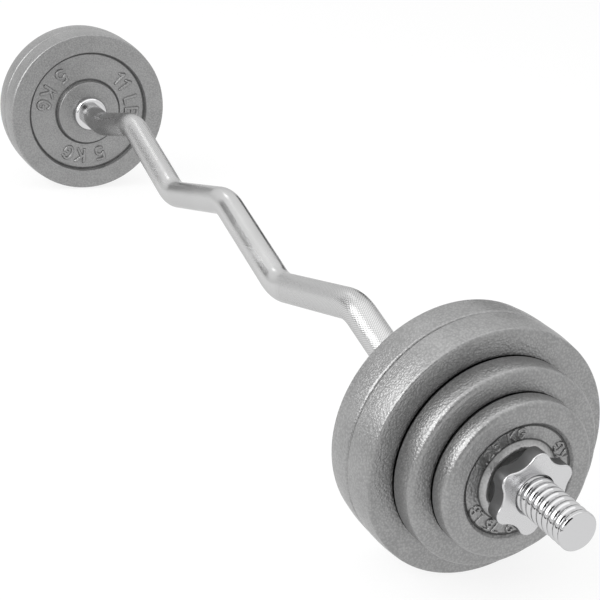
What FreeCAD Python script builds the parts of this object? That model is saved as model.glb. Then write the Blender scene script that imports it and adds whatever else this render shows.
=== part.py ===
import FreeCAD, Part
import math
import os

# An EZ curl bar loaded with cast plates and closed by star nuts.
# Lengths are in millimetres and angles in degrees. The loading sleeves lie on the X axis, the middle
# of the bar is at the origin, and the bends lie in the XZ plane with the middle of the W upwards.

# Bar: a bent rod with a thicker, straight sleeve at each end
grip_diameter = 28.0
grip_tilt = 15.5
centre_apex_height = 28.5
inner_grip_run = 136.5
outer_grip_run = 139.7
bend_radius = 55.0
stub_length = 42.2
sleeve_diameter = 30.0
sleeve_length = 165.63
sleeve_end_chamfer = 1.0

# Stop rings: pressed onto the sleeves, they carry the inner face of the plate stack
stop_ring_diameter = 42.0
stop_ring_width = 10.0
stop_ring_edge_radius = 1.5

# Cast plates: each face has a flat hub, a sunken ring for its markings and a raised rim.
# The rim narrows towards the plate's front, and at the back it may stand clear of the next plate.
plate_bore_clearance = 0.5
plate_bore_edge_radius = 0.8
recess_floor_radius = 1.5
rim_edge_radius = 1.6

plate_5kg_radius = 101.0
plate_5kg_thickness = 28.1
plate_5kg_hub_radius = 39.0
plate_5kg_hub_flank = 2.2
plate_5kg_hub_edge_radius = 1.2
plate_5kg_recess_radius = 77.0
plate_5kg_recess_wall = 2.2
plate_5kg_recess_depth = 6.0
plate_5kg_rim_taper_drop = 1.6
plate_5kg_rim_taper_run = 14.0
plate_5kg_rim_taper_radius = 100.0
plate_5kg_front_edge_radius = 2.2
plate_5kg_back_edge_radius = 4.0
plate_5kg_back_rim_setback = 0.0

plate_2_5kg_radius = 79.7
plate_2_5kg_thickness = 23.2
plate_2_5kg_hub_radius = 36.0
plate_2_5kg_hub_flank = 2.0
plate_2_5kg_hub_edge_radius = 1.2
plate_2_5kg_recess_radius = 60.0
plate_2_5kg_recess_wall = 2.0
plate_2_5kg_recess_depth = 5.4
plate_2_5kg_rim_taper_drop = 0.8
plate_2_5kg_rim_taper_run = 9.0
plate_2_5kg_rim_taper_radius = 80.0
plate_2_5kg_front_edge_radius = 4.2
plate_2_5kg_back_edge_radius = 3.0
plate_2_5kg_back_rim_setback = 1.3

plate_1_25kg_radius = 62.2
plate_1_25kg_thickness = 17.3
plate_1_25kg_hub_radius = 27.6
plate_1_25kg_hub_flank = 4.8
plate_1_25kg_hub_edge_radius = 2.6
plate_1_25kg_recess_radius = 46.0
plate_1_25kg_recess_wall = 2.8
plate_1_25kg_recess_depth = 3.0
plate_1_25kg_rim_taper_drop = 0.8
plate_1_25kg_rim_taper_run = 8.0
plate_1_25kg_rim_taper_radius = 60.0
plate_1_25kg_front_edge_radius = 4.6
plate_1_25kg_back_edge_radius = 3.0
plate_1_25kg_back_rim_setback = 1.0

# Star nut: a lobed disc on a round spigot that centres the rubber ring
thread_clearance = 0.1
star_lobe_count = 6
star_radius = 32.3
star_lobe_radius = 8.0
star_lobe_height = 6.3
star_thickness = 12.5
star_edge_radius = 1.1
spigot_radius = 19.0
spigot_setback = 1.9
nut_mouth_chamfer = 1.2

# Rubber ring between the star nut and the last plate
gasket_radius = 26.0
gasket_thickness = 6.4
gasket_edge_radius = 1.4
gasket_clearance = 0.1

X_AXIS = FreeCAD.Vector(1, 0, 0)
Z_AXIS = FreeCAD.Vector(0, 0, 1)
ORIGIN = FreeCAD.Vector(0, 0, 0)


def rounded_wire(corners, radii, closed):
    """Straight runs through the corners, each joined by a tangent arc of its own radius."""
    count = len(corners)
    entries = []
    exits = []
    middles = []
    for i, corner in enumerate(corners):
        radius = radii[i]
        is_end = not closed and i in (0, count - 1)
        if is_end or radius == 0:
            entries.append(corner)
            exits.append(corner)
            middles.append(None)
            continue
        back = (corners[i - 1] - corner).normalize()
        ahead = (corners[(i + 1) % count] - corner).normalize()
        half_angle = back.getAngle(ahead) / 2
        tangent = radius / math.tan(half_angle)
        to_centre = (back + ahead).normalize()
        depth = radius / math.sin(half_angle) - radius
        entries.append(corner + back * tangent)
        exits.append(corner + ahead * tangent)
        middles.append(corner + to_centre * depth)
    edges = []
    for i in range(count):
        if middles[i] is not None:
            edges.append(Part.Arc(entries[i], middles[i], exits[i]).toShape())
        if i < count - 1 or closed:
            edges.append(Part.LineSegment(exits[i], entries[(i + 1) % count]).toShape())
    return Part.Wire(edges)


def turned(outline, radii):
    """A solid of revolution about X from a closed outline of (x, radius) corners."""
    corners = [FreeCAD.Vector(x, 0, r) for x, r in outline]
    face = Part.Face(rounded_wire(corners, radii, True))
    return face.revolve(ORIGIN, X_AXIS, 360)


def moved(shape, x):
    return shape.translated(FreeCAD.Vector(x, 0, 0))


# Places along the right half of the bar, worked outwards from the middle
tilt_slope = math.tan(math.radians(grip_tilt))
valley_height = centre_apex_height - inner_grip_run * tilt_slope
outer_apex_height = valley_height + outer_grip_run * tilt_slope
valley_x = inner_grip_run
outer_apex_x = valley_x + outer_grip_run
return_x = outer_apex_x + outer_apex_height / tilt_slope
stop_ring_x = return_x + stub_length
plate_stack_x = stop_ring_x + stop_ring_width
bar_end_x = plate_stack_x + sleeve_length


def curl_bar():
    """The rod follows a W of straight grips and equal bends, and a sleeve continues it at each end."""
    right_half = [(valley_x, valley_height), (outer_apex_x, outer_apex_height), (return_x, 0)]
    left_half = [(-x, z) for x, z in reversed(right_half)]
    bends = left_half + [(0, centre_apex_height)] + right_half
    route = [(-plate_stack_x, 0)] + bends + [(plate_stack_x, 0)]
    corners = [FreeCAD.Vector(x, 0, z) for x, z in route]
    path = rounded_wire(corners, [bend_radius] * len(corners), False)
    section = Part.Wire(Part.makeCircle(grip_diameter / 2, corners[0], X_AXIS))
    rod = path.makePipeShell([section], True, False)
    sleeve_r = sleeve_diameter / 2
    sleeve = turned(
        [
            (stop_ring_x, 0),
            (stop_ring_x, sleeve_r),
            (bar_end_x - sleeve_end_chamfer, sleeve_r),
            (bar_end_x, sleeve_r - sleeve_end_chamfer),
            (bar_end_x, 0),
        ],
        [0] * 5,
    )
    other_sleeve = sleeve.rotated(ORIGIN, Z_AXIS, 180)
    print("rod length along the bends", round(path.Length, 1))
    return rod.fuse([sleeve, other_sleeve]).removeSplitter()


def stop_ring():
    bore_r = sleeve_diameter / 2
    rim_r = stop_ring_diameter / 2
    outline = [(0, bore_r), (0, rim_r), (stop_ring_width, rim_r), (stop_ring_width, bore_r)]
    return turned(outline, [0, stop_ring_edge_radius, stop_ring_edge_radius, 0])


def cast_plate(
    radius,
    thickness,
    hub_r,
    hub_flank,
    hub_edge_r,
    recess_r,
    recess_wall,
    recess_depth,
    taper_drop,
    taper_run,
    taper_r,
    front_edge_r,
    back_edge_r,
    back_setback,
):
    """A disc with its back at x = 0 and its front at x = thickness."""
    bore_r = sleeve_diameter / 2 + plate_bore_clearance
    floor_r = hub_r + hub_flank
    wall_r = recess_r - recess_wall
    back = [
        (0, bore_r, plate_bore_edge_radius),
        (0, hub_r, hub_edge_r),
        (recess_depth, floor_r, recess_floor_radius),
        (recess_depth, wall_r, recess_floor_radius),
        (back_setback, recess_r, rim_edge_radius),
        (back_setback, radius, back_edge_r),
    ]
    front = [
        (thickness - taper_run, radius, taper_r),
        (thickness, radius - taper_drop, front_edge_r),
        (thickness, recess_r, rim_edge_radius),
        (thickness - recess_depth, wall_r, recess_floor_radius),
        (thickness - recess_depth, floor_r, recess_floor_radius),
        (thickness, hub_r, hub_edge_r),
        (thickness, bore_r, plate_bore_edge_radius),
    ]
    section = back + front
    return turned([(x, r) for x, r, edge_r in section], [edge_r for x, r, edge_r in section])


def star_outline():
    """Round lobes joined by hollow arcs that touch them smoothly, in the YZ plane, one lobe upwards."""
    half_step = math.pi / star_lobe_count
    lobe_centre_r = star_radius - star_lobe_radius
    valley_r = star_radius - star_lobe_height
    along = lobe_centre_r * math.cos(half_step)
    hollow_r = (lobe_centre_r ** 2 + valley_r ** 2 - 2 * valley_r * along - star_lobe_radius ** 2) / (
        2 * (star_lobe_radius + along - valley_r)
    )
    hollow_centre_r = valley_r + hollow_r

    def at(radius, angle):
        return FreeCAD.Vector(0, radius * math.sin(angle), radius * math.cos(angle))

    touch_share = star_lobe_radius / (star_lobe_radius + hollow_r)
    edges = []
    for i in range(star_lobe_count):
        lobe_angle = 2 * i * half_step
        lobe_centre = at(lobe_centre_r, lobe_angle)
        before = at(hollow_centre_r, lobe_angle - half_step)
        after = at(hollow_centre_r, lobe_angle + half_step)
        after_next = at(lobe_centre_r, lobe_angle + 2 * half_step)
        lobe_start = lobe_centre + (before - lobe_centre) * touch_share
        lobe_end = lobe_centre + (after - lobe_centre) * touch_share
        next_start = after_next + (after - after_next) * touch_share
        edges.append(Part.Arc(lobe_start, at(star_radius, lobe_angle), lobe_end).toShape())
        edges.append(Part.Arc(lobe_end, at(valley_r, lobe_angle + half_step), next_start).toShape())
    return Part.Wire(edges)


def star_nut():
    """The star's inner face is at x = 0 and its spigot reaches inwards through the rubber ring."""
    disc = Part.Face(star_outline()).extrude(X_AXIS * star_thickness)
    rims = [e for e in disc.Edges if e.BoundBox.XLength < star_edge_radius]
    disc = disc.makeFillet(star_edge_radius, rims)
    spigot_length = gasket_thickness - spigot_setback
    spigot = Part.makeCylinder(spigot_radius, spigot_length + star_thickness / 2,
                               FreeCAD.Vector(-spigot_length, 0, 0), X_AXIS)
    bore_r = sleeve_diameter / 2 + thread_clearance
    mouth_r = bore_r + nut_mouth_chamfer
    bore = turned(
        [
            (-spigot_length, 0),
            (-spigot_length, mouth_r),
            (-spigot_length + nut_mouth_chamfer, bore_r),
            (star_thickness - nut_mouth_chamfer, bore_r),
            (star_thickness, mouth_r),
            (star_thickness, 0),
        ],
        [0] * 6,
    )
    return disc.fuse(spigot).cut(bore)


def nut_gasket():
    bore_r = spigot_radius + gasket_clearance
    outline = [(0, bore_r), (0, gasket_radius), (gasket_thickness, gasket_radius), (gasket_thickness, bore_r)]
    return turned(outline, [0, gasket_edge_radius, gasket_edge_radius, 0])


plate_5kg = cast_plate(
    plate_5kg_radius,
    plate_5kg_thickness,
    plate_5kg_hub_radius,
    plate_5kg_hub_flank,
    plate_5kg_hub_edge_radius,
    plate_5kg_recess_radius,
    plate_5kg_recess_wall,
    plate_5kg_recess_depth,
    plate_5kg_rim_taper_drop,
    plate_5kg_rim_taper_run,
    plate_5kg_rim_taper_radius,
    plate_5kg_front_edge_radius,
    plate_5kg_back_edge_radius,
    plate_5kg_back_rim_setback,
)
plate_2_5kg = cast_plate(
    plate_2_5kg_radius,
    plate_2_5kg_thickness,
    plate_2_5kg_hub_radius,
    plate_2_5kg_hub_flank,
    plate_2_5kg_hub_edge_radius,
    plate_2_5kg_recess_radius,
    plate_2_5kg_recess_wall,
    plate_2_5kg_recess_depth,
    plate_2_5kg_rim_taper_drop,
    plate_2_5kg_rim_taper_run,
    plate_2_5kg_rim_taper_radius,
    plate_2_5kg_front_edge_radius,
    plate_2_5kg_back_edge_radius,
    plate_2_5kg_back_rim_setback,
)
plate_1_25kg = cast_plate(
    plate_1_25kg_radius,
    plate_1_25kg_thickness,
    plate_1_25kg_hub_radius,
    plate_1_25kg_hub_flank,
    plate_1_25kg_hub_edge_radius,
    plate_1_25kg_recess_radius,
    plate_1_25kg_recess_wall,
    plate_1_25kg_recess_depth,
    plate_1_25kg_rim_taper_drop,
    plate_1_25kg_rim_taper_run,
    plate_1_25kg_rim_taper_radius,
    plate_1_25kg_front_edge_radius,
    plate_1_25kg_back_edge_radius,
    plate_1_25kg_back_rim_setback,
)

# The inner 5 kg plate is turned round, so that it shows its front to the middle of the bar
plate_5kg_turned = moved(plate_5kg.rotated(ORIGIN, Z_AXIS, 180), plate_5kg_thickness)

# Each side's stack from the stop ring outwards: the piece and the length of sleeve that it takes up
stack = [
    ("stop_ring", stop_ring(), stop_ring_width),
    ("plate_5kg_inner", plate_5kg_turned, plate_5kg_thickness),
    ("plate_5kg_outer", plate_5kg, plate_5kg_thickness),
    ("plate_2_5kg", plate_2_5kg, plate_2_5kg_thickness),
    ("plate_1_25kg", plate_1_25kg, plate_1_25kg_thickness),
    ("nut_gasket", nut_gasket(), gasket_thickness),
    ("star_nut", star_nut(), star_thickness),
]

nodes = {"curl_bar": curl_bar()}
face_x = stop_ring_x
for name, shape, length in stack:
    right = moved(shape, face_x)
    nodes["right_" + name] = right
    nodes["left_" + name] = right.rotated(ORIGIN, Z_AXIS, 180)
    face_x += length
    print(name, "ends at", round(face_x, 2))

os.makedirs("parts", exist_ok=True)
for name, shape in nodes.items():
    shape.exportStep("parts/" + name + ".step")
    print(name, "valid", shape.isValid(), "solids", len(shape.Solids), "cm3", round(shape.Volume / 1000, 1))
print("bar end at", round(bar_end_x, 3))
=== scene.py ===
# %% [markdown]
# # A loaded curl bar
#
# The object is a chromed W-shaped bar with four cast plates on each sleeve, locked by a star nut.
# The construction is already packed as a frame, in metres, with the sleeves on the X axis and the
# bends standing up in Z. Every piece below is built in that frame, so nothing has to be fitted.

# %% Load the frame
import math

import bmesh
import bpy
from mathutils import Matrix, Vector


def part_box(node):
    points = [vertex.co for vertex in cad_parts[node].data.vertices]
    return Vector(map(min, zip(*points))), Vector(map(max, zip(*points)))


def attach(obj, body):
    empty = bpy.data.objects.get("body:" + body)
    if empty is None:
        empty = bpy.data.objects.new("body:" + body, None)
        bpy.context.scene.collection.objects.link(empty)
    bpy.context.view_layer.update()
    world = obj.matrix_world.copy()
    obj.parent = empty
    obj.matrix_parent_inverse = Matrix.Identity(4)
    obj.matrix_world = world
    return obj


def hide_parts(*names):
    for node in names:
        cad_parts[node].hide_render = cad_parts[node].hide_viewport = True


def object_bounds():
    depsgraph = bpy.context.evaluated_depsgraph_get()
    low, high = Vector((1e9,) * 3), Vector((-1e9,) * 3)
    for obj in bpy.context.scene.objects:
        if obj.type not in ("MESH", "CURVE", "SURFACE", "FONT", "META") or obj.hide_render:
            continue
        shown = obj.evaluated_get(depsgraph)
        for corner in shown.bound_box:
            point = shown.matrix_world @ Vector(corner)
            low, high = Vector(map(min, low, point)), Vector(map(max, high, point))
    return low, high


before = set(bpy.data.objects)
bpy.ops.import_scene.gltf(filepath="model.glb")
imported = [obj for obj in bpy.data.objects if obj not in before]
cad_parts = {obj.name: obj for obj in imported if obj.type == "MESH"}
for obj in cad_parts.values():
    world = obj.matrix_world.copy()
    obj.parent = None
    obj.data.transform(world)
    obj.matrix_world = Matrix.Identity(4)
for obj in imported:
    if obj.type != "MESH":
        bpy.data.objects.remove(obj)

MM = 0.001
cad_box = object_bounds()
print("frame nodes:", len(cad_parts), "box:", *cad_box)

# %% [markdown]
# ## Camera
#
# The picture looks along the bar from above its near end, with a longish lens. A constraint could aim
# the camera at a point, but its roll and lens would still be guesses. Here the place and the directions
# come from fitting the plates' circles and the bends, so they are given as numbers. A camera in Blender
# looks along its own -Z with +Y up, and a matrix with those axes as columns sets it.

# %% Camera
camera_place = Vector((1.21524, -0.55794, 0.46659))
camera_forward = Vector((-0.81713, 0.43992, -0.37253)).normalized()
camera_down = Vector((0.37754, -0.07995, -0.92254)).normalized()
focal_px = 1396.448
image_px = 600
sensor_mm = 36

camera = bpy.data.objects.new("camera", bpy.data.cameras.new("camera"))
camera.data.sensor_width = sensor_mm
camera.data.lens = focal_px / image_px * sensor_mm
camera_right = camera_down.cross(camera_forward)
camera_axes = Matrix((camera_right, -camera_down, -camera_forward)).transposed()
camera.matrix_world = Matrix.Translation(camera_place) @ camera_axes.to_4x4()
bpy.context.collection.objects.link(camera)
bpy.context.scene.camera = camera
print("lens mm:", round(camera.data.lens, 2))

# %% [markdown]
# ## Node helpers
#
# A finish is a small tree of shader nodes. It could be drawn in the Shader Editor, but a tree in code
# can be read and repeated. Two helpers start each tree: one adds a node with its values, the other makes
# a material. Values that are the same all over a surface are typed on the shader's own sockets.

# %% Nodes and materials


def add_node(tree, kind, inputs=None, **settings):
    """A new node with its settings, whose inputs are plain values or other nodes' outputs."""
    node = tree.nodes.new(kind)
    for key, value in settings.items():
        setattr(node, key, value)
    for key, value in (inputs or {}).items():
        if isinstance(value, bpy.types.NodeSocket):
            tree.links.new(value, node.inputs[key])
        else:
            node.inputs[key].default_value = value
    return node


def new_finish(name, **sockets):
    """A material with one Principled shader and the given constants on its sockets."""
    finish = bpy.data.materials.new(name)
    finish.use_nodes = True
    shader = finish.node_tree.nodes["Principled BSDF"]
    for key, value in sockets.items():
        shader.inputs[key.replace("_", " ")].default_value = value
    return finish, finish.node_tree, shader


print("node helpers:", add_node.__name__, new_finish.__name__)

# %% [markdown]
# ## Floor
#
# A product shot on white needs a floor that is nearly white but still takes a soft shadow. A floor that
# only glows shows no shadow, and lamps that turn it white burn out the metal. So the floor's diffuse
# shading is mixed with white, but only for rays that the camera and shiny surfaces send. The shadow
# stays, and the white adds no light to the object.

# %% Floor
floor_size = 60.0
floor_z = cad_box[0].z
floor_colour = (0.86, 0.86, 0.86, 1)
floor_roughness = 0.9
floor_white = 1.07
floor_white_share = 0.78
SQUARE = [(-1, -1), (1, -1), (1, 1), (-1, 1)]


def math_node(tree, operation, first, second):
    """Two values joined by an operation."""
    node = add_node(tree, "ShaderNodeMath", {0: first, 1: second}, operation=operation)
    return node.outputs["Value"]


def seen_directly(tree):
    """1 for rays from the camera and for mirror or glass rays, 0 for the rest."""
    path = add_node(tree, "ShaderNodeLightPath").outputs
    shiny = math_node(tree, "MAXIMUM", path["Is Glossy Ray"], path["Is Transmission Ray"])
    return math_node(tree, "MAXIMUM", path["Is Camera Ray"], shiny)


floor_mesh = bpy.data.meshes.new("floor")
half_floor = floor_size / 2
floor_points = [(x * half_floor, y * half_floor, floor_z) for x, y in SQUARE]
floor_mesh.from_pydata(floor_points, [], [(0, 1, 2, 3)])
floor = bpy.data.objects.new("floor", floor_mesh)
bpy.context.collection.objects.link(floor)

floor_finish, tree, shader = new_finish("studio_floor", Base_Color=floor_colour, Roughness=floor_roughness)
white = add_node(tree, "ShaderNodeEmission", {"Strength": floor_white})
amount = math_node(tree, "MULTIPLY", seen_directly(tree), floor_white_share)
blend = add_node(tree, "ShaderNodeMixShader", {0: amount, 1: shader.outputs[0], 2: white.outputs[0]})
tree.links.new(blend.outputs[0], tree.nodes["Material Output"].inputs["Surface"])
floor_mesh.materials.append(floor_finish)
print("floor at", round(floor_z, 4))

# %% [markdown]
# ## World
#
# The world is the room round the set. A picture of a studio could be wrapped round the scene, but a
# plain room needs none: it is white to look at, and an even grey as a lamp. The same test of the ray
# chooses between the two.

# %% World
room_light = 0.62
room_white = 1.0

world = bpy.data.worlds.new("studio")
world.use_nodes = True
bpy.context.scene.world = world
tree = world.node_tree
lit, shown = [
    add_node(tree, "ShaderNodeBackground", {"Color": (1, 1, 1, 1), "Strength": strength}).outputs[0]
    for strength in (room_light, room_white)
]
blend = add_node(tree, "ShaderNodeMixShader", {0: seen_directly(tree), 1: lit, 2: shown})
tree.links.new(blend.outputs[0], tree.nodes["World Output"].inputs["Surface"])
bpy.context.scene.view_settings.view_transform = "Standard"
print("room light:", room_light)

# %% [markdown]
# ## Lamps
#
# The lamps are soft boxes, made as area lights that face the object. Small lamps would dot the chrome
# with hard points. The main box is large and stands at the bar's left, because the plates' shoulders
# sparkle on that side. The box overhead is wide and dim, so that it fills the shadows without a second
# row of sparkles on the thread. A small one far behind lights the bends of the far grips.

# %% Lamps
LAMPS = {
    # name: place, aim, width, height, watts
    "left_box": ((0.2, -1.95, 1.1), (0.2, 0, 0), 2.9, 1.6, 41),
    "top_box": ((0.2, 0, 2.2), (0.2, 0, 0), 2.3, 3.4, 13),
    "back_box": ((-1.75, -0.15, 1.9), (-0.2, 0, 0), 0.45, 0.45, 1.0),
}


def facing(place, aim):
    """The turn that points -Z from a place at its aim."""
    return (Vector(aim) - Vector(place)).to_track_quat("-Z", "Y")


for name, (place, aim, width, height, watts) in LAMPS.items():
    light = bpy.data.lights.new(name, "AREA")
    light.shape = "RECTANGLE"
    light.size = width
    light.size_y = height
    light.energy = watts
    lamp = bpy.data.objects.new(name, light)
    lamp.location = place
    lamp.rotation_euler = facing(place, aim).to_euler()
    bpy.context.collection.objects.link(lamp)
print("lamps:", ", ".join(LAMPS))

# %% [markdown]
# ## Cards
#
# Chrome shows what stands round it, and in a white room it would look like paper. So a studio sets dark
# cards where a dark edge is wanted: behind the camera, beside the near end on the floor, and two far
# behind the object, of which the left one is only dark grey. They could be painted into the world, but
# the reflection of a card that is near also shifts from bend to bend. Only shiny surfaces see them, and
# they throw no shadow. One glowing finish serves all, with its strength stored on the mesh.

# %% Things beside the set


def store(mesh, name, values):
    """Stores a value for each point of a mesh, where a finish can read it."""
    mesh.attributes.new(name, "FLOAT", "POINT").data.foreach_set("value", values)


def stored(tree, name):
    """A value that was stored on the mesh."""
    return add_node(tree, "ShaderNodeAttribute", attribute_name=name).outputs["Fac"]


def studio_prop(name, points, faces, shades):
    """A thing beside the set that only shiny surfaces see."""
    mesh = bpy.data.meshes.new(name)
    mesh.from_pydata(points, [], faces)
    store(mesh, "brightness", shades)
    mesh.materials.append(studio_grey)
    prop = bpy.data.objects.new(name, mesh)
    prop.visible_camera = False
    prop.visible_diffuse = False
    prop.visible_shadow = False
    bpy.context.collection.objects.link(prop)


studio_grey = bpy.data.materials.new("studio_prop")
studio_grey.use_nodes = True
tree = studio_grey.node_tree
glow = add_node(tree, "ShaderNodeEmission", {"Strength": stored(tree, "brightness")})
tree.links.new(glow.outputs[0], tree.nodes["Material Output"].inputs["Surface"])
print("finish of the cards:", studio_grey.name)

# %% Cards
CARDS = {
    # name: place, aim, width, height, brightness
    "camera_card": ((2.1, -1.05, 1.05), (0.5, 0, 0), 1.7, 1.25, 0.02),
    "right_card": ((-1.64, 1.66, 0.4), (0, 0, 0.03), 0.6, 0.85, 0.02),
    "left_card": ((-1.43, -1.53, 0.95), (0, 0, 0.03), 0.55, 1.3, 0.12),
    "floor_card": ((0.6, -0.6, -0.08), (0.6, -0.6, 1), 1.0, 0.42, 0.02),
}

for name, (place, aim, width, height, brightness) in CARDS.items():
    corners = [Vector((x * width / 2, y * height / 2, 0)) for x, y in SQUARE]
    points = [Vector(place) + facing(place, aim) @ corner for corner in corners]
    studio_prop(name, points, [(0, 1, 2, 3)], [brightness] * len(points))
print("cards:", ", ".join(CARDS))

# %% [markdown]
# ## Skirting
#
# A real set is never quite white where the floor meets the wall. A gradient in the world could show that,
# but the camera would see it too. So a bowl of a few rings stands round the set, a little grey at the
# horizon, and puts a soft line into the chrome.

# %% Skirting
SKIRTING = [
    # radius, height above the floor, brightness
    (1.0, 0.004, 1.0),
    (1.8, 0.02, 0.97),
    (3.4, 0.08, 0.88),
    (3.8, 0.35, 0.84),
    (4.1, 0.8, 0.92),
    (4.3, 1.9, 1.0),
]
skirting_segments = 64


def round_angles(count):
    """Equal angles once round a circle."""
    return [2 * math.pi * j / count for j in range(count)]


def grid_faces(rows, columns, closed_rows):
    """Quads over rows of points that close round their columns, and round the rows if asked."""
    faces = []
    for i in range(rows if closed_rows else rows - 1):
        for j in range(columns):
            a = i * columns
            b = (i + 1) % rows * columns
            k = (j + 1) % columns
            faces.append((a + j, a + k, b + k, b + j))
    return faces


points = []
shades = []
for radius, height, brightness in SKIRTING:
    for angle in round_angles(skirting_segments):
        points.append((radius * math.cos(angle), radius * math.sin(angle), floor_z + height))
        shades.append(brightness)
studio_prop("skirting", points, grid_faces(len(SKIRTING), skirting_segments, False), shades)
print("skirting rings:", len(SKIRTING))

# %% [markdown]
# ## Textures
#
# Four helpers make the finishes vary from place to place: where a point is on the object, noise there, a
# ramp that turns it into greys, and a bump. Pictures could be laid on instead, but they repeat and show
# seams.

# %% Textures
ramp_middle = 0.5


def object_place(tree):
    """The place on the object, in metres."""
    return add_node(tree, "ShaderNodeTexCoord").outputs["Object"]


def noise(tree, place, scale, detail):
    """Noise about 0.5, with roughly so many lumps to a metre."""
    inputs = {"Vector": place, "Scale": scale, "Detail": detail}
    return add_node(tree, "ShaderNodeTexNoise", inputs).outputs["Fac"]


def ramp(tree, factor, stops):
    """A colour ramp from (position, grey) stops, read as a colour."""
    node = add_node(tree, "ShaderNodeValToRGB", {"Fac": factor})
    elements = node.color_ramp.elements
    while len(elements) < len(stops):
        elements.new(ramp_middle)
    for element, (position, grey) in zip(elements, stops):
        element.position = position
        element.color = (grey, grey, grey, 1)
    return node.outputs["Color"]


def add_bump(tree, shader, height, strength, depth, **over):
    """Bumps a shader by a height, on top of another bump's Normal if one is given."""
    inputs = {"Strength": strength, "Distance": depth, "Height": height, **over}
    bump = add_node(tree, "ShaderNodeBump", inputs).outputs[0]
    tree.links.new(bump, shader.inputs["Normal"])
    return bump


print("texture helpers:", noise.__name__, ramp.__name__, add_bump.__name__)

# %% [markdown]
# ## Chrome
#
# The rings, the nuts and the bar are plated with chrome, a metal that reflects a little under two thirds
# of the light. One mirror finish could serve all, but a mirror that is perfect everywhere looks computed.
# So faint stretched noise makes some patches a touch duller, as polishing and handling do. The rings and
# sleeves are sharp. The nuts' faces are satin, which blurs the thread that they reflect. Their sides are
# duller still, and their lower grey is a painted dark reflection.

# %% Chrome
bar_grey = 0.6
chrome_blue = 1.01
chrome_edge = (0.75, 0.75, 0.75, 1)
drawn_stretch = (0.35, 1, 1)
patch_scale = 45
patch_detail = 6
sharp_below = 0.35
dull_above = 0.7
ripple_scale = 160
ripple_detail = 3
ripple_depth = 0.2 * MM
CHROMES = {
    # name: grey, dullest and sharpest roughness, strength of the ripples
    "ring_chrome": (0.66, 0.14, 0.06, 0.03),
    "nut_chrome": (0.62, 0.29, 0.22, 0.03),
    # The nuts' sides: a lower grey as a painted dark reflection.
    "nut_side_dark_reflection_chrome": (0.34, 0.36, 0.28, 0.08),
    "sleeve_chrome": (bar_grey, 0.13, 0.06, 0.03),
}


def chrome(name, grey, dullest, sharpest, ripple):
    """A chrome finish, with its tree, its shader and its bump for more to be added."""
    colour = (grey, grey, grey * chrome_blue, 1)
    finish, tree, shader = new_finish(name, Base_Color=colour, Metallic=1.0, Specular_Tint=chrome_edge)
    inputs = {"Vector": object_place(tree), "Scale": drawn_stretch}
    along = add_node(tree, "ShaderNodeMapping", inputs).outputs[0]
    patches = noise(tree, along, patch_scale, patch_detail)
    dull = ramp(tree, patches, [(sharp_below, sharpest), (dull_above, dullest)])
    tree.links.new(dull, shader.inputs["Roughness"])
    waves = noise(tree, along, ripple_scale, ripple_detail)
    bump = add_bump(tree, shader, waves, ripple, ripple_depth)
    return finish, tree, shader, bump


chromes = {name: chrome(name, *values)[0] for name, values in CHROMES.items()}
print("chrome finishes:", ", ".join(chromes))

# %% [markdown]
# ## Knurled chrome
#
# The bar's grips are satin, and for a firm hold they are rolled with a diamond knurl, its teeth about
# 2.4 mm apart. Modelled teeth would need very many faces, so they are a texture: two families of slanted
# ridges, crossing, drawn on the bar's own wrap coordinates, with the grooves between them darker in
# colour as painted shade. The wrap counts whole teeth round the bar, so the pattern meets itself without
# a seam. An amount stored on the mesh fades the knurl in and out.

# %% Knurled chrome
knurl_teeth_round = 36
# Painted shade: the grooves between the teeth are a darker grey than the teeth.
half_tooth = 0.5
groove_painted_shade_tone = (0.03, 0.44)
tooth_tone = (0.2, 0.63)
knurl_strength = 0.2
knurl_depth = 0.8 * MM
BAR_CHROME = (bar_grey, 0.3, 0.2, 0.05)


def mix(tree, factor, first, second, kind="MIX"):
    """Two colours mixed by a factor, or multiplied if asked."""
    inputs = {"Fac": factor, "Color1": first, "Color2": second}
    return add_node(tree, "ShaderNodeMixRGB", inputs, blend_type=kind).outputs["Color"]


bar_chrome, tree, shader, smooth_bump = chrome("bar_chrome", *BAR_CHROME)
wrap = add_node(tree, "ShaderNodeUVMap", uv_map="wrap").outputs[0]
parts = add_node(tree, "ShaderNodeSeparateXYZ", {0: wrap}).outputs
right_hand = math_node(tree, "ADD", parts["X"], parts["Y"])
left_hand = math_node(tree, "SUBTRACT", parts["X"], parts["Y"])
ridges = [math_node(tree, "PINGPONG", hand, half_tooth) for hand in (right_hand, left_hand)]
teeth = math_node(tree, "MINIMUM", *ridges)
amount = stored(tree, "knurl")
plain = (bar_grey, bar_grey, bar_grey, 1)
knurl_with_painted_shade = ramp(tree, teeth, [groove_painted_shade_tone, tooth_tone])
tree.links.new(mix(tree, amount, plain, knurl_with_painted_shade), shader.inputs["Base Color"])
height = math_node(tree, "MULTIPLY", teeth, amount)
add_bump(tree, shader, height, knurl_strength, knurl_depth, Normal=smooth_bump)
print("knurl teeth round the bar:", knurl_teeth_round)

# %% [markdown]
# ## Hammertone paint
#
# The plates wear a silver-grey hammertone paint: a film that dries into small shiny pebbles with darker
# lines between them. A photograph of such paint would repeat and carry its own light. Smooth Voronoi
# cells of about 2 mm give the pebbles instead, both as tone and as bump, and slower noise shifts the tone
# from place to place. Two values stored on the mesh change the paint: one darkens hollow corners, gaps
# and what the rubber covers as painted shade, and "rubbed" bares metal on the lip of the hub under the nut.

# %% Hammertone paint
paint_metal = 0.9
pebble_scale = 560
pebble_smoothness = 0.5
pebble_tones = [(0.1, 0.4), (0.65, 0.3)]
pebble_strength = 0.4
pebble_depth = 0.6 * MM
cloud_scale = 45
cloud_detail = 5
cloud_tones = [(0.3, 0.9), (0.7, 1.0)]
dimple_scale = 700
dimple_detail = 3
dimple_share = 0.35
dimple_gloss = [(0.3, 0.32), (0.7, 0.46)]
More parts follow.
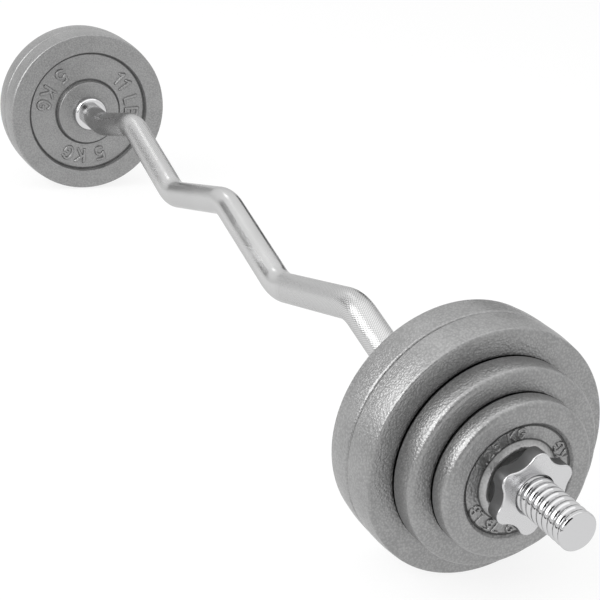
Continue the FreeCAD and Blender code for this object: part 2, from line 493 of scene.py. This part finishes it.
# Painted shade: how dark hollow corners get, and the full strength for gaps, under the next plate and round
# the rubber.
hollow_painted_shade = 0.6
full_painted_shade = 1.0
painted_shade_tones = [(0.0, 1.0), (hollow_painted_shade, 0.3), (full_painted_shade, 0.06)]
bare_metal = (0.66, 0.66, 0.66, 1)

plate_paint, tree, shader = new_finish("hammertone_iron", Metallic=paint_metal)
place = object_place(tree)
inputs = {"Vector": place, "Scale": pebble_scale, "Smoothness": pebble_smoothness}
pebbles = add_node(tree, "ShaderNodeTexVoronoi", inputs, feature="SMOOTH_F1").outputs["Distance"]
dimples = noise(tree, place, dimple_scale, dimple_detail)
clouds = noise(tree, place, cloud_scale, cloud_detail)
painted = mix(tree, 1.0, ramp(tree, pebbles, pebble_tones), ramp(tree, clouds, cloud_tones), "MULTIPLY")
# Painted shade: the stored value darkens the paint in hollows, in gaps and round the rubber, where shade
# falls.
painted_shade_colour = ramp(tree, stored(tree, "painted_shade"), painted_shade_tones)
paint_with_painted_shade = mix(tree, 1.0, painted, painted_shade_colour, "MULTIPLY")
worn = mix(tree, stored(tree, "rubbed"), paint_with_painted_shade, bare_metal)
tree.links.new(worn, shader.inputs["Base Color"])
tree.links.new(ramp(tree, dimples, dimple_gloss), shader.inputs["Roughness"])
low_dimples = math_node(tree, "MULTIPLY", dimples, dimple_share)
height = math_node(tree, "SUBTRACT", low_dimples, pebbles)
add_bump(tree, shader, height, pebble_strength, pebble_depth)
print("paint:", plate_paint.name, "pebbles to a metre:", pebble_scale)

# %% [markdown]
# ## Rubber
#
# The ring under each nut is plain black rubber. One dark colour would do from afar, but real rubber is
# faintly grainy, so a single fine noise shifts its colour, its dullness and its surface together.

# %% Rubber
grain_scale = 900
grain_detail = 3
grain_tones = [(0.3, 0.016), (0.7, 0.034)]
grain_dullness = [(0.3, 0.42), (0.7, 0.6)]
grain_strength = 0.25
grain_depth = 0.1 * MM

gasket_rubber, tree, shader = new_finish("black_rubber")
grain = noise(tree, object_place(tree), grain_scale, grain_detail)
tree.links.new(ramp(tree, grain, grain_tones), shader.inputs["Base Color"])
tree.links.new(ramp(tree, grain, grain_dullness), shader.inputs["Roughness"])
add_bump(tree, shader, grain, grain_strength, grain_depth)
print("rubber:", gasket_rubber.name)

# %% [markdown]
# ## Turned sections
#
# Rings, plates and gaskets are round about the X axis, so each is a section spun round that axis. A
# cylinder with a Bevel modifier would round all edges alike. Here the section is a loop of corners, each
# with its own rounding. A short straight step beside every arc keeps the flat faces flat under smooth
# shading, and each point of an arc in a hollow corner is marked for painted shade.

# %% Turned sections
arc_steps = 7
flat_step = 0.25 * MM


def rounded_section(corners):
    """Points (x, r, crease) round a closed section of (x, r, rounding) corners."""
    points = []
    count = len(corners)
    flat = [Vector(corner[:2]) for corner in corners]
    area = sum(flat[i - 1].cross(flat[i]) for i in range(count))
    for i, (x, r, rounding) in enumerate(corners):
        here = flat[i]
        back = (flat[i - 1] - here).normalized()
        ahead = (flat[(i + 1) % count] - here).normalized()
        if rounding == 0:
            points.append((x, r, 0))
            continue
        half_angle = back.angle(ahead) / 2
        reach = rounding / math.tan(half_angle)
        centre = here + (back + ahead).normalized() * (rounding / math.sin(half_angle))
        start = here + back * reach
        end = here + ahead * reach
        # Arcs in hollow corners are marked for painted shade; convex arcs get none.
        painted_shade = hollow_painted_shade if back.cross(ahead) * area > 0 else 0.0
        points.append((*(start + back * flat_step), 0))
        for k in range(arc_steps + 1):
            spoke = (start - centre).slerp(end - centre, k / arc_steps) * rounding
            points.append((*(centre + spoke), painted_shade))
        points.append((*(end + ahead * flat_step), 0))
    return points


print("points round each eased corner:", arc_steps + 3)

# %% [markdown]
# ## Making a piece
#
# Every piece becomes a mesh in the same way: points and faces, finishes, normals that point outwards, and
# smooth shading that stops at sharp edges. It then rides on a body of the frame and stands for the plain
# solid there. The left side's pieces are the right side's turned half round Z. A mirror would be shorter,
# but it would turn the figures and the thread the wrong way.

# %% Making a piece
smooth_angle = math.radians(32)
SIDES = {"right": Matrix.Identity(4), "left": Matrix.Rotation(math.pi, 4, "Z")}


def make_piece(name, vertices, faces, finishes, side, body, node):
    """A smooth mesh piece in place, riding on its body in the CAD node's stead."""
    mesh = bpy.data.meshes.new(name)
    turn = SIDES[side]
    mesh.from_pydata([turn @ Vector(v) for v in vertices], [], faces)
    for finish in finishes:
        mesh.materials.append(finish)
    work = bmesh.new()
    work.from_mesh(mesh)
    bmesh.ops.recalc_face_normals(work, faces=work.faces)
    work.to_mesh(mesh)
    work.free()
    mesh.shade_smooth()
    mesh.set_sharp_from_angle(angle=smooth_angle)
    piece = bpy.data.objects.new(name, mesh)
    bpy.context.collection.objects.link(piece)
    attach(piece, body)
    if node:
        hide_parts(node)
    return piece


def turned_piece(name, section, segments, finish, side, body, node):
    """A piece spun from a section."""
    vertices = []
    for x, r in (point[:2] for point in section):
        for angle in round_angles(segments):
            vertices.append((x, r * math.cos(angle), r * math.sin(angle)))
    faces = grid_faces(len(section), segments, True)
    return make_piece(name, vertices, faces, [finish], side, body, node)


def right_span(node):
    """The lowest and highest x and the largest radius of a right-hand node."""
    low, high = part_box("right_" + node)
    return low.x, high.x, high.z


print("nut ends and radius mm:", [round(value / MM, 2) for value in right_span("star_nut")])

# %% [markdown]
# ## Stop rings
#
# Each sleeve starts at a chromed ring that the plates stand against. A torus would be too round where the
# plate touches it. The ring is a plain section with wide easings, which shows as a bead with a bright
# line round it.

# %% Stop rings
ring_edge = 4.5 * MM
ring_segments = 96
sleeve_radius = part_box("curl_bar")[1].y


def ring_section(node, bore, edge):
    """Section of a ring-shaped node with eased outer edges."""
    x0, x1, rim = right_span(node)
    return rounded_section([(x0, bore, 0), (x0, rim, edge), (x1, rim, edge), (x1, bore, 0)])


for side in SIDES:
    section = ring_section("stop_ring", sleeve_radius, ring_edge)
    name = side + "_stop_ring"
    finish = chromes["ring_chrome"]
    turned_piece(name + "_chrome", section, ring_segments, finish, side, "bar", name)
print("stop ring radius mm:", round(right_span("stop_ring")[2] / MM, 2))

# %% [markdown]
# ## Rubber rings
#
# The rubber sits between the nut and the last plate, a little smaller than the plate's hub. It could be
# squashed by the nut, but a hard rubber hardly bulges, so it is the same kind of ring with small easings.

# %% Rubber rings
gasket_bore = 19.1 * MM
gasket_edge = 1.4 * MM

for side in SIDES:
    section = ring_section("nut_gasket", gasket_bore, gasket_edge)
    name = side + "_nut_gasket"
    look = name + "_rubber"
    seat = side + "_nut_seat"
    turned_piece(look, section, ring_segments, gasket_rubber, side, seat, name)
print("rubber ring radius mm:", round(right_span("nut_gasket")[2] / MM, 2))

# %% [markdown]
# ## Cast plates
#
# The plates are iron castings. Each face has a flat hub, a sunken ring for its marks and a raised rim.
# The rim narrows a little towards the front, which faces outwards except on the inner 5 kg plate. At the
# back of the small plates the rim stands clear of the next plate and leaves a gap, which painted shade
# darkens further. All sizes are in one table, so that one function can make every casting.

# %% Plate sizes
plate_bore = 15.5 * MM
CASTING_SIZES = "hub foot recess wall depth hub_edge drop run taper front back setback".split()
PLATES = {
    # In mm: radius of the hub's top and foot, recess radius, its wall and depth, rounding of the hub,
    # drop, length and rounding of the rim's taper, rounding of the front and back edge, setback of the back
    "plate_5kg_inner": (39.0, 41.2, 77.0, 2.2, 6.0, 1.2, 1.6, 14.0, 100.0, 2.2, 2.2, 0.0),
    "plate_5kg_outer": (39.0, 41.2, 77.0, 2.2, 6.0, 1.2, 1.6, 14.0, 100.0, 2.2, 2.2, 0.0),
    "plate_2_5kg": (36.0, 38.0, 60.0, 2.0, 5.4, 1.2, 0.8, 9.0, 80.0, 4.2, 1.2, 1.8),
    "plate_1_25kg": (27.6, 32.4, 46.0, 2.8, 3.0, 2.6, 0.8, 8.0, 60.0, 4.6, 1.2, 1.6),
}
FRONT_INWARDS = {"plate_5kg_inner"}


def casting(plate):
    """A plate's sizes by name in metres, with the places of its front and back and its outward sign."""
    size = {key: value * MM for key, value in zip(CASTING_SIZES, PLATES[plate])}
    x0, x1, size["rim"] = right_span(plate)
    size["outward"] = -1 if plate in FRONT_INWARDS else 1
    size["front_x"], size["back_x"] = (x0, x1) if plate in FRONT_INWARDS else (x1, x0)
    return size


print("plate radii mm:", {plate: round(casting(plate)["rim"] / MM, 1) for plate in PLATES})

# %% [markdown]
# Both faces of a plate use the same five corners, from the bore out to the recess, and the rim joins them.
# Where another plate lies on the front, two more corners mark its edge, so that the painted shade can stop
# there.

# %% Plate sections
bore_edge = 0.8 * MM
floor_rounding = 2.0 * MM
rim_rounding = 1.6 * MM
# The step at the next plate's edge, where the painted shade under it stops.
shade_edge_step = 0.3 * MM
NEXT_PLATE = {"plate_5kg_outer": "plate_2_5kg", "plate_2_5kg": "plate_1_25kg"}


def plate_face(size, face_x, inward, setback):
    """Corners of one face of a plate from the bore out to its recess."""
    floor_x = face_x + inward * size["depth"]
    return [
        (face_x, plate_bore, bore_edge),
        (face_x, size["hub"], size["hub_edge"]),
        (floor_x, size["foot"], floor_rounding),
        (floor_x, size["recess"] - size["wall"], floor_rounding),
        (face_x + inward * setback, size["recess"], rim_rounding),
    ]


def plate_section(plate):
    """Corners round the plate's whole section."""
    size = casting(plate)
    outward = size["outward"]
    front = plate_face(size, size["front_x"], -outward, 0)
    if plate in NEXT_PLATE:
        edge = right_span(NEXT_PLATE[plate])[2]
        front += [(size["front_x"], edge - shade_edge_step, 0), (size["front_x"], edge, 0)]
    back = plate_face(size, size["back_x"], outward, size["setback"])
    rim = [
        (size["front_x"], size["rim"] - size["drop"], size["front"]),
        (size["front_x"] - outward * size["run"], size["rim"], size["taper"]),
        (size["back_x"] + outward * size["setback"], size["rim"], size["back"]),
    ]
    return front + rim + back[::-1]


print("corners of the 2.5 kg section:", len(plate_section("plate_2_5kg")))

# %% [markdown]
# ## Painted shade and rubbing
#
# Painted shade darkens the gap behind a small plate, the face under the next plate and what the rubber
# covers, and the nut has rubbed the lip of the last hub bare. Both could be painted on the mesh by hand.
# The section knows where each of its points lies, so a few tests store the same values on every point
# round it.

# %% Painted shade and rubbing
UNDER_NUT = {"plate_1_25kg"}
gap_share = 0.4
lip_rub = 0.5


def store_shade_and_rubbing(piece, plate, section, segments):
    """Stores how much painted shade and how much rubbing each point has on the mesh, where the paint reads
    it.
    """
    size = casting(plate)
    outward = size["outward"]
    gap_x = size["back_x"] + outward * size["setback"]
    covered = right_span(NEXT_PLATE[plate])[2] - shade_edge_step / 2 if plate in NEXT_PLATE else 0
    shade_values = []
    rubs = []
    for x, r, painted_shade in section:
        past_edge = outward * (x - gap_x) / size["back"]
        in_gap = size["setback"] > 0 and r > size["recess"] and past_edge < gap_share
        under_next = x == size["front_x"] and size["recess"] < r < covered
        at_nut = plate in UNDER_NUT and outward * (x - size["front_x"]) > -size["depth"]
        under_rubber = at_nut and r < size["hub"] - size["hub_edge"] / 2
        on_lip = at_nut and not under_rubber and r < size["hub"] + size["hub_edge"]
        # Gaps, the face under the next plate and the ring round the rubber get full painted shade.
        shade_values += [full_painted_shade if in_gap or under_next or under_rubber else painted_shade] * segments
        rubs += [lip_rub if on_lip else 0.0] * segments
    store(piece.data, "painted_shade", shade_values)
    store(piece.data, "rubbed", rubs)


print("plates that the nut rubs:", ", ".join(UNDER_NUT))

# %% [markdown]
# Each casting is then spun from its section, in enough steps to look round at the rim.

# %% Cast plates
plate_segments = 180

for side in SIDES:
    for plate in PLATES:
        section = rounded_section(plate_section(plate))
        name = side + "_" + plate
        look = name + "_casting"
        piece = turned_piece(look, section, plate_segments, plate_paint, side, name, name)
        store_shade_and_rubbing(piece, plate, section, plate_segments)
print("faces of the last casting:", len(piece.data.polygons))

# %% [markdown]
# ## Weight marks
#
# The plates carry raised figures for their weight in the sunken ring. A text object would need a font and
# look cut from sheet. Cast letters are bold and soft, so each character is a few strokes, drawn here in a
# box one unit high.

# %% Letter strokes
arc_degrees = 20


def arc(x, y, width, height, start, end):
    """Points along part of an ellipse, between two angles in degrees."""
    steps = round(abs(end - start) / arc_degrees)
    angles = [math.radians(start + (end - start) * k / steps) for k in range(steps + 1)]
    return [(x + width * math.cos(a), y + height * math.sin(a)) for a in angles]


STROKES = {
    # character: its width and its strokes
    " ": (0.2, []),
    ".": (0.08, [[(0.04, 0), (0.04, 0.02)]]),
    "1": (0.3, [[(0.28, 0), (0.28, 1)], [(0.28, 1), (0.02, 0.78)]]),
    "2": (0.6, [arc(0.3, 0.7, 0.3, 0.3, 160, -40), [(0.53, 0.51), (0, 0)], [(0, 0), (0.6, 0)]]),
    "5": (0.6, [[(0.56, 1), (0.08, 1)], [(0.08, 1), (0.04, 0.56)], arc(0.28, 0.32, 0.32, 0.32, 140, -140)]),
    "7": (0.58, [[(0, 1), (0.58, 1)], [(0.58, 1), (0.2, 0)]]),
    "K": (0.62, [[(0, 0), (0, 1)], [(0.6, 1), (0, 0.42)], [(0.2, 0.6), (0.62, 0)]]),
    "G": (
        0.66,
        [arc(0.34, 0.5, 0.34, 0.5, 45, 325), [(0.62, 0.22), (0.66, 0.46)], [(0.66, 0.46), (0.4, 0.46)]],
    ),
    "L": (0.5, [[(0, 1), (0, 0)], [(0, 0), (0.5, 0)]]),
    "B": (
        0.6,
        [
            [(0, 0), (0, 1)],
            [(0, 1), (0.32, 1)] + arc(0.32, 0.77, 0.25, 0.23, 70, -90) + [(0, 0.54)],
            [(0.3, 0.54)] + arc(0.32, 0.27, 0.28, 0.27, 90, -90) + [(0, 0)],
        ],
    ),
}
print("characters drawn:", "".join(STROKES))

# %% [markdown]
# Each stroke becomes a low ridge with round ends, highest along its middle and steep at its sides. They
# may simply run into one another, as in a pattern carved for casting.

# %% Ridges
ridge_places = (-1, -0.92, -0.75, -0.45, 0, 0.45, 0.75, 0.92, 1)
cap_angles = [math.radians(a) for a in (82, 60, 38, 18)]
crown_power = 3
shoulder_power = 0.7


def ridge_rows(line, half):
    """Middles, directions and how far past the line's end, for each cross row of a ridge."""
    points = [Vector(p) for p in line]
    ways = [(after - before).normalized() for before, after in zip(points, points[1:])]
    caps = [math.sin(a) for a in cap_angles]
    rows = [(points[0] - ways[0] * half * past, ways[0], past) for past in caps]
    for i, point in enumerate(points):
        way = ways[max(i - 1, 0)] + ways[min(i, len(ways) - 1)]
        rows.append((point, way.normalized(), 0))
    rows += [(points[-1] + ways[-1] * half * past, ways[-1], past) for past in reversed(caps)]
    return rows


def ridge(line, width):
    """Vertices and faces of a ridge one unit high along a line of points."""
    half = width / 2
    rows = ridge_rows(line, half)
    vertices = []
    for centre, way, past_end in rows:
        narrow = math.sqrt(1 - past_end**2)
        for t in ridge_places:
            place = centre + Vector((-way.y, way.x)) * (half * narrow * t)
            from_middle = min(1.0, math.hypot(past_end, narrow * t))
            vertices.append((place.x, place.y, (1 - from_middle**crown_power) ** shoulder_power))
    columns = len(ridge_places)
    faces = []
    for i in range(len(rows) - 1):
        for j in range(columns - 1):
            k = i * columns + j
            faces.append((k, k + 1, k + columns + 1, k + columns))
    left = [i * columns for i in range(len(rows))]
    right = [i + columns - 1 for i in left]
    under = left + list(range(left[-1] + 1, right[-1])) + right[::-1] + list(range(right[0] - 1, 0, -1))
    return vertices, faces + [tuple(under)]


print("points across a ridge:", len(ridge_places))

# %% Raised words
stroke_share = 0.27
letter_gap = 0.42


def raised_words(words):
    """Vertices (along, up, out) and faces of a line of characters, centred on 0 and one unit high."""
    reach = sum(STROKES[c][0] for c in words) + letter_gap * (len(words) - 1)
    at = -reach / 2
    vertices = []
    faces = []
    for character in words:
        width, strokes = STROKES[character]
        for line in strokes:
            points, ridge_faces = ridge(line, stroke_share)
            faces += [tuple(len(vertices) + i for i in face) for face in ridge_faces]
            vertices += [(at + x, y, z) for x, y, z in points]
        at += width + letter_gap
    return vertices, faces


print("points of one mark:", len(raised_words("5 KG")[0]))

# %% [markdown]
# The flat words are then wrapped round the plate: the distance along the line becomes an angle and the
# height becomes a radius. A Curve modifier could bend them too, but the sum is short and exact. The first
# mark stands with its top to the hub, as on the casting, and the other two with their tops outwards.

# %% Wrapped words
mark_sink = 0.3 * MM
middle_height = 0.5
TOPS_IN = (True, False, False)
MARKS = {
    # plate: letter height and relief in mm, words, and their angles in degrees from +Y towards +Z
    "plate_5kg_inner": (16.0, 2.4, ("5 KG", "11 LB", "5 KG"), (30, 158, 273)),
    "plate_5kg_outer": (16.0, 2.4, ("5 KG", "11 LB", "5 KG"), (60, 290, 175)),
    "plate_2_5kg": (10.2, 1.9, ("2.5 KG", "5.5 LB", "2.5 KG"), (310, 180, 65)),
    "plate_1_25kg": (7.8, 1.4, ("1.25 KG", "2.75 LB", "1.25 KG"), (7, 240, 125)),
}


def plate_marks(plate):
    """All raised marks of a plate's front face, wrapped into its sunken ring."""
    size = casting(plate)
    outward = size["outward"]
    floor_x = size["front_x"] - outward * size["depth"]
    middle = (size["foot"] + size["recess"] - size["wall"]) / 2
    height, relief, words, angles = MARKS[plate]
    vertices = []
    faces = []
    for line, angle, tops_in in zip(words, angles, TOPS_IN):
        points, letter_faces = raised_words(line)
        faces += [tuple(len(vertices) + i for i in face) for face in letter_faces]
        for along, up, out in points:
            rise = (up - middle_height) * height * MM
            radius = middle - rise if tops_in else middle + rise
            sweep = outward * along * height * MM / middle
            turn = math.radians(angle) + (sweep if tops_in else -sweep)
            x = floor_x + outward * (out * (relief * MM + mark_sink) - mark_sink)
            vertices.append((x, radius * math.cos(turn), radius * math.sin(turn)))
    return vertices, faces


for side in SIDES:
    for plate in PLATES:
        vertices, faces = plate_marks(plate)
        name = side + "_" + plate
        make_piece(name + "_marks", vertices, faces, [plate_paint], side, name, None)
print("raised marks on", len(SIDES) * len(PLATES), "plates")

# %% [markdown]
# ## Star nuts
#
# The nut is a six-lobed disc: round lobes joined by hollows that meet them smoothly. A circle pushed in
# and out by a wave would be simpler, but its lobes come out too pointed. So the outline is arcs that touch:
# the hollow's radius follows from the lobes on both sides and from the depth of the valley between them.

# %% Star outline
star_lobes = 6
star_lobe_radius = 8.0 * MM
star_lobe_height = 6.3 * MM
lobe_steps = 14
hollow_steps = 10


def spoke_at(angle):
    """A unit vector (y, z) at an angle from +Z towards +Y."""
    return Vector((math.sin(angle), math.cos(angle)))


def star_outline(star_radius):
    """Points (y, z) and outward normals round the lobed outline, one lobe upwards."""
    half_step = math.pi / star_lobes
    lobe_r = star_radius - star_lobe_radius
    valley_r = star_radius - star_lobe_height
    along = lobe_r * math.cos(half_step)
    apart = lobe_r**2 + valley_r**2 - 2 * valley_r * along - star_lobe_radius**2
    hollow = apart / (2 * (star_lobe_radius + along - valley_r))
    outline = []
    for i in range(star_lobes):
        lobe_angle = 2 * i * half_step
        lobe_centre = spoke_at(lobe_angle) * lobe_r
        dip_centre = spoke_at(lobe_angle + half_step) * (valley_r + hollow)
        next_centre = spoke_at(lobe_angle + 2 * half_step) * lobe_r
        lean = (dip_centre - lobe_centre).normalized()
        spread = math.acos(max(-1, min(1, lean.dot(lobe_centre.normalized()))))
        for k in range(lobe_steps):
            normal = spoke_at(lobe_angle - spread + 2 * spread * k / lobe_steps)
            outline.append((lobe_centre + normal * star_lobe_radius, normal))
        last = (next_centre - dip_centre).normalized()
        for k in range(hollow_steps):
            spoke = (-lean).slerp(last, k / hollow_steps)
            outline.append((dip_centre + spoke * hollow, -spoke))
    return outline


print("points round the star:", len(star_outline(right_span("star_nut")[2])))

# %% [markdown]
# Rows of points follow the outline from the hole across the face, over the eased edge, down the sides and
# back along the spigot. The face has the satin chrome, and all behind its edge the duller one, whose
# darker grey is a painted dark reflection.

# %% Star nuts
star_disc = 12.5 * MM
star_edge = 1.1 * MM
spigot_radius = 19.0 * MM
nut_bore = 15.1 * MM
nut_mouth = 1.2 * MM
quarter = [math.pi / 2 * k / arc_steps for k in range(arc_steps + 1)]


def nut_rows(outline, x_low, x1):
    """Rows of points over the nut's face, and rows from there round its sides and back."""
    x0 = x1 - star_disc

    def circle(x, radius):
        return [(x, *(point.normalized() * radius)) for point, normal in outline]

    def follow(x, inset):
        return [(x, *(point - normal * inset)) for point, normal in outline]

    face = [circle(x1 - nut_mouth, nut_bore), circle(x1, nut_bore + nut_mouth)]
    face += [circle(x1, nut_bore + nut_mouth + flat_step), follow(x1, star_edge + flat_step)]
    face += [follow(x1 - star_edge * (1 - math.cos(a)), star_edge * (1 - math.sin(a))) for a in quarter]
    sides = [follow(x1 - star_edge - flat_step, 0), follow(x0 + star_edge + flat_step, 0)]
    sides += [follow(x0 + star_edge * (1 - math.sin(a)), star_edge * (1 - math.cos(a))) for a in quarter]
    sides += [follow(x0, star_edge + flat_step), circle(x0, spigot_radius), circle(x_low, spigot_radius)]
    sides += [circle(x_low, nut_bore + nut_mouth), circle(x_low + nut_mouth, nut_bore)]
    return face, sides


def star_nut(side):
    """One nut, riding on its own turning body."""
    x_low, x1, star_radius = right_span("star_nut")
    outline = star_outline(star_radius)
    face_rows, side_rows = nut_rows(outline, x_low, x1)
    rows = face_rows + side_rows
    vertices = [point for row in rows for point in row]
    faces = grid_faces(len(rows), len(outline), True)
    finishes = [chromes["nut_chrome"], chromes["nut_side_dark_reflection_chrome"]]
    name = side + "_star_nut"
    body = side + "_nut"
    piece = make_piece(name + "_chrome", vertices, faces, finishes, side, body, name)
    for face in piece.data.polygons:
        face.material_index = int(face.index // len(outline) >= len(face_rows))
    return piece


for side in SIDES:
    piece = star_nut(side)
print("star nut faces:", len(piece.data.polygons))

# %% [markdown]
# ## The bar's route
#
# The bar is one bent rod. A curve object with a round bevel could follow it, but its rings could not carry
# a thread. So the middle line is worked out as corners: straight grips of one slope, up and down in a W,
# between two level stubs.

# %% The bar's route
grip_slope = math.tan(math.radians(15.5))
centre_apex = 28.5 * MM
inner_run = 136.5 * MM
outer_run = 139.7 * MM

bar_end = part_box("curl_bar")[1].x
ring_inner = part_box("right_stop_ring")[0].x
valley = centre_apex - inner_run * grip_slope
outer_apex = valley + outer_run * grip_slope
half_route = [
    (inner_run, valley),
    (inner_run + outer_run, outer_apex),
    (inner_run + outer_run + outer_apex / grip_slope, 0),
]
route = [(-x, z) for x, z in reversed(half_route)] + [(0, centre_apex)] + half_route
route = [Vector((-ring_inner, 0))] + [Vector(p) for p in route] + [Vector((ring_inner, 0))]
print("corners of the route:", len(route), "bar end at", round(bar_end, 4))

# %% [markdown]
# The route is then walked as a list of stations. Each has a place and a slope, and a ring of points will
# stand square to the line there. Straight runs need few, and every corner becomes an arc of small equal
# turns.

# %% Stations along the grips
bend_radius = 55.0 * MM
bend_step = math.radians(2.6)
grip_station = 12.0 * MM


def slope_of(heading):
    """The angle of a direction (x, z) above the X axis."""
    return math.atan2(heading.y, heading.x)


def bend_stations(start, heading, turn):
    """Stations round one bend, and the place where it ends."""
    side_way = Vector((-heading.y, heading.x)) * math.copysign(1, turn)
    centre = start + side_way * bend_radius
    steps = math.ceil(abs(turn) / bend_step)
    bend = []
    for k in range(steps + 1):
        swung = turn * k / steps
        spoke = Matrix.Rotation(swung, 2) @ (-side_way)
        bend.append((centre + spoke * bend_radius, slope_of(heading) + swung))
    return bend[:-1], bend[-1][0]


stations = []
last_end = route[0]
for i in range(1, len(route)):
    heading = (route[i] - route[i - 1]).normalized()
    slope = slope_of(heading)
    turn = slope_of((route[i + 1] - route[i]).normalized()) - slope if i < len(route) - 1 else 0
    bend_start = route[i] - heading * (bend_radius * math.tan(abs(turn) / 2))
    run = (bend_start - last_end).length
    count = max(1, round(run / grip_station))
    stations += [(last_end + heading * (run * k / count), slope) for k in range(count)]
    if turn:
        bend, last_end = bend_stations(bend_start, heading, turn)
        stations += bend
stations.append((route[-1], 0.0))
print("stations along the grips:", len(stations))

# %% [markdown]
# ## The bar's thread
#
# The sleeves carry a coarse rolled thread near their ends, with round crests and narrow grooves. A Screw
# modifier could wind it as a separate strip, with a seam where it meets the sleeve. Here the ring's radius
# changes with its angle as well as its place, one pitch for each turn to the right, so the ridge really
# climbs round the bar and runs out smoothly at both ends.

# %% The bar's thread
thread_pitch = 6.3 * MM
thread_depth = 1.9 * MM
thread_length = 96 * MM
thread_start = bar_end - thread_length
thread_rows_per_pitch = 22
thread_lead_in = 5.0 * MM
groove_power = 2.6
crest_power = 0.75
end_chamfer = 1.0 * MM
plain_tip = 2.0 * MM


def thread_radius(x, angle):
    """Radius of the threaded sleeve at a place along it and an angle round it."""
    turns = (x - thread_start) / thread_pitch - angle / (2 * math.pi)
    from_groove = 1 - abs((turns % 1.0) - 0.5) * 2
    crest = (1 - (1 - from_groove) ** groove_power) ** crest_power
    lead_in = max(0.0, (x - thread_start) / thread_lead_in)
    lead_out = max(0.0, (bar_end - plain_tip - x) / plain_tip)
    radius = sleeve_radius - thread_depth * (1 - crest) * min(1.0, lead_in, lead_out)
    return min(radius, sleeve_radius - end_chamfer + max(0.0, bar_end - x))


count = round(thread_length / thread_pitch * thread_rows_per_pitch)
threaded = [thread_start + (bar_end - thread_start) * k / count for k in range(1, count + 1)]
sleeve_places = [ring_inner, thread_start] + threaded
print("turns of thread:", round(thread_length / thread_pitch, 1), "rows:", len(sleeve_places))

# %% [markdown]
# ## The bar's knurl
#
# The knurl is deep on the outer grips and their bends and faint on the inner ones. It could be painted on
# by hand. Here its depth is worked out for each station, and fades at both ends as where the rolls lift.

# %% The bar's knurl
KNURLED = [
    # from, to along X, and how deep it is rolled
    (50 * MM, 120 * MM, 0.4),
    (150 * MM, 375 * MM, 1.0),
]
knurl_fade = 12 * MM
grip_radius = 14.0 * MM
knurl_pitch = 2 * math.pi * grip_radius / knurl_teeth_round


def knurl_amount(x):
    """How deep the knurl is at a place, alike on both sides."""
    amount = 0.0
    for start, end, deep in KNURLED:
        share = min(1.0, (abs(x) - start) / knurl_fade, (end - abs(x)) / knurl_fade)
        amount = max(amount, deep * share)
    return amount


print("knurl pitch mm:", round(knurl_pitch / MM, 2))

# %% [markdown]
# ## The bar's mesh
#
# All rings together make one tube from end to end: the left sleeve, the grips and the right sleeve. Three
# tubes joined later would show their seams. The left sleeve's rings are the right one's turned half round,
# with their points in the order that the grips use.

# %% Rings of the bar
bar_segments = 96
bar_angles = round_angles(bar_segments)


def sleeve_ring(x):
    """Points round the right sleeve at a place along it."""
    radii = [thread_radius(x, a) for a in bar_angles]
    return [Vector((x, r * math.cos(a), r * math.sin(a))) for r, a in zip(radii, bar_angles)]


def half_turned(ring):
    """A ring of the right sleeve, turned to the left end."""
    turned = [SIDES["left"] @ p for p in ring]
    start = bar_segments // 2
    return [turned[(start - j) % bar_segments] for j in range(bar_segments)]


def grip_ring(place, slope):
    """Points round the grips, square to their middle line."""
    up = Vector((-math.sin(slope), 0, math.cos(slope)))
    middle = Vector((place.x, 0, place.y))
    ring = []
    for a in bar_angles:
        across = Vector((0, math.cos(a), 0)) * grip_radius
        ring.append(middle + across + up * (math.sin(a) * grip_radius))
    return ring


# Each row is a ring, its place along the knurl in teeth, and how deep the knurl is.
sleeve = [sleeve_ring(x) for x in sleeve_places]
rows = [(half_turned(ring), 0.0, 0.0) for ring in reversed(sleeve)]
walked = 0.0
previous = stations[0][0]
for place, slope in stations:
    walked += (place - previous).length
    previous = place
    rows.append((grip_ring(place, slope), walked / knurl_pitch, knurl_amount(place.x)))
rows += [(ring, walked / knurl_pitch, 0.0) for ring in sleeve]
rings, wraps, knurled = zip(*rows)
print("rings of the bar:", len(rings), "knurled:", sum(amount > 0 for amount in knurled))

# %% [markdown]
# The rings become faces with a cap at each end. The wrap coordinates count teeth round the bar and along
# it, and the last column counts on past the full turn, so that no face runs back across the pattern. The
# grips take the knurled finish, and the sleeves and caps the sharper chrome.

# %% The bar's mesh
vertices = [tuple(p) for ring in rings for p in ring]
faces = grid_faces(len(rings), bar_segments, False)
last_ring = len(vertices) - bar_segments
caps = [tuple(reversed(range(bar_segments))), tuple(range(last_ring, len(vertices)))]
finishes = [bar_chrome, chromes["sleeve_chrome"]]
name = "curl_bar"
bar = make_piece(name + "_chrome", vertices, faces + caps, finishes, "right", "bar", name)
store(bar.data, "knurl", [amount for amount in knurled for angle in bar_angles])

sleeve_count = len(sleeve_places)
grip_rows = range(sleeve_count, len(rings) - sleeve_count - 1)
for face in bar.data.polygons:
    face.material_index = 0 if face.index // bar_segments in grip_rows else 1

wrap_layer = bar.data.uv_layers.new(name="wrap")
for face in bar.data.polygons[: len(faces)]:
    column = face.index % bar_segments
    for corner in face.loop_indices:
        ring_number, around = divmod(bar.data.loops[corner].vertex_index, bar_segments)
        counted = around if around >= column else around + bar_segments
        wrap_layer.data[corner].uv = (counted / bar_segments * knurl_teeth_round, wraps[ring_number])
print("bar faces:", len(bar.data.polygons))
